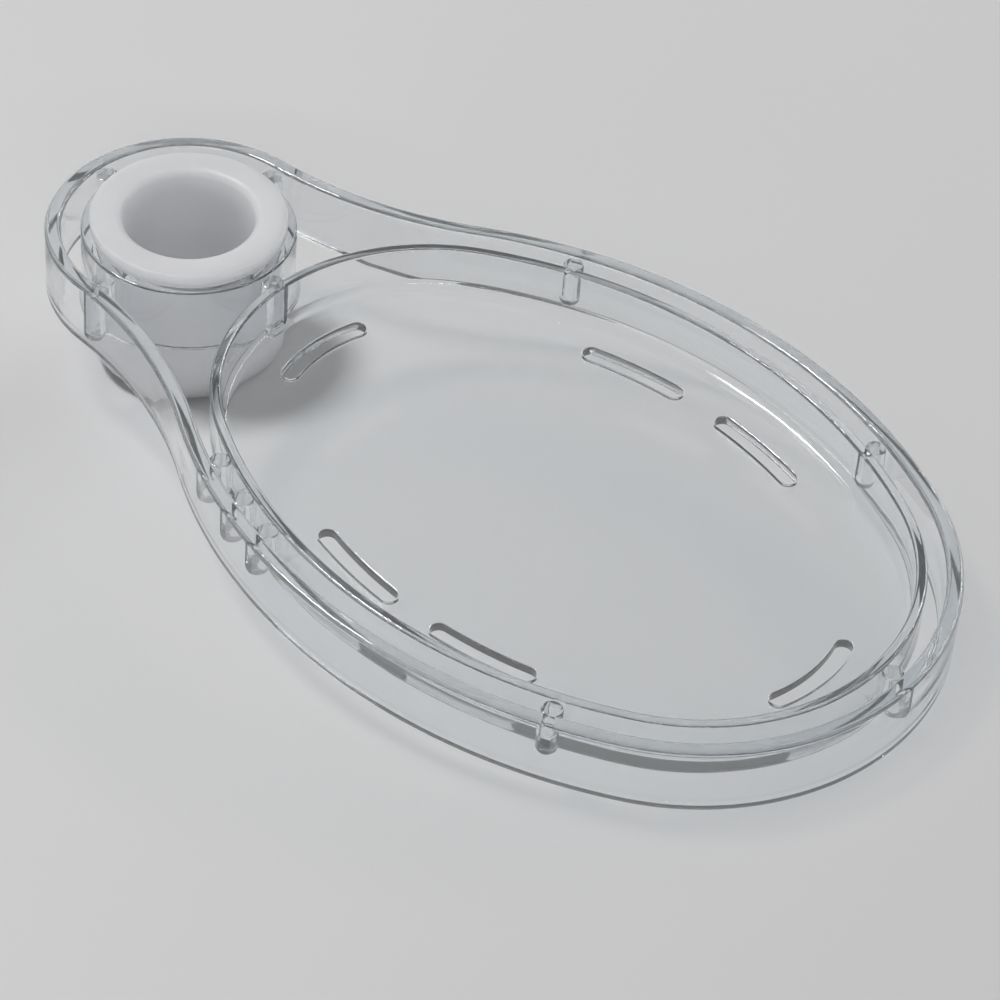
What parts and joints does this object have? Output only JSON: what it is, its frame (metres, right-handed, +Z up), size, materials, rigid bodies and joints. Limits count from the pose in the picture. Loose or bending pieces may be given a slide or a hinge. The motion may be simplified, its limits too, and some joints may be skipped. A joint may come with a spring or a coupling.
{
  "type": "soap holder",
  "caption": "Clear teardrop soap holder with an oval dish and a soft milky bush in its collar, to slide on a shower riser rail.",
  "frame": {"origin": "under the middle of the holder's bounding box, level with the foot of the bush", "axes": "+X from the rail to the big end of the dish, +Z up along the rail"},
  "size_m": [0.1934, 0.1094, 0.03],
  "materials": {
    "clear_plastic": "clear, high gloss",
    "milky_rubber": "milky, translucent, satin"
  },
  "bodies": {
    "tray": {"tray": "clear_plastic"},
    "bush": {"rail_bush": "milky_rubber"}
  },
  "joints": [
    {"name": "bush_lift", "type": "slide", "parent": "tray", "child": "bush", "axis": [0, 0, 1], "range_m": [0, 0.03]}
  ]
}
